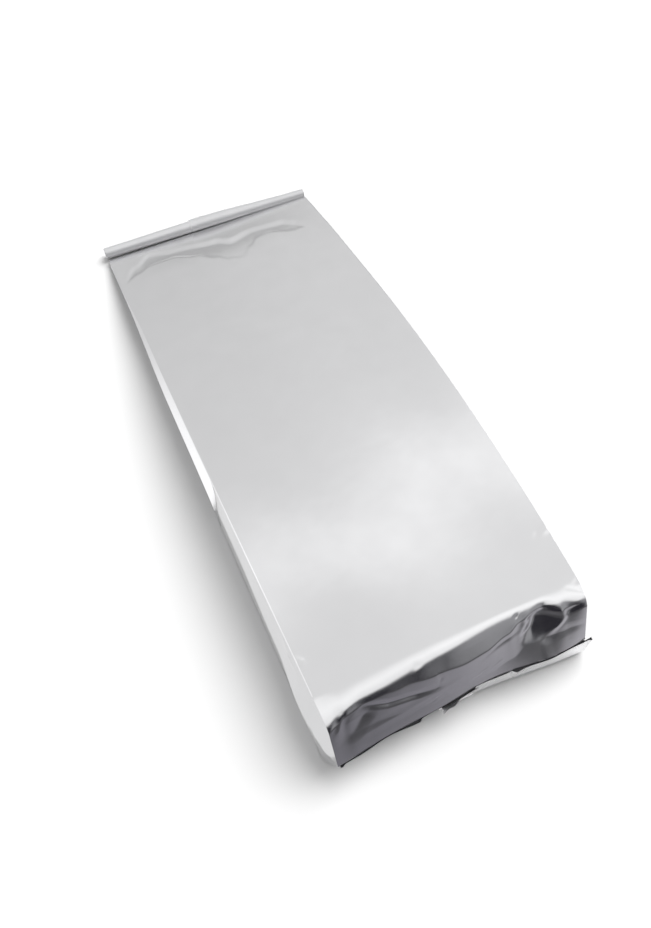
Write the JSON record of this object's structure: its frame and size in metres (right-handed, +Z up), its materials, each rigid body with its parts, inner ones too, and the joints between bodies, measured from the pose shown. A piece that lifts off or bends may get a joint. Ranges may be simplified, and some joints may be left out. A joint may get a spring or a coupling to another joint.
{
  "type": "coffee bag",
  "caption": "Plain foil side-gusset coffee bag, part filled and lying on its back, with its empty top rolled forward and its bottom seal bent up against the end.",
  "frame": {"origin": "on the surface the bag lies on, under the middle of its outer box", "axes": "+Z up out of the front panel, +Y along the bag towards the rolled top, +X across the bag"},
  "size_m": [0.0848, 0.2104, 0.0276],
  "materials": {
    "foil": "matte metallised plastic film, silver, unprinted"
  },
  "bodies": {
    "root": {"bag": "foil"}
  },
  "joints": []
}
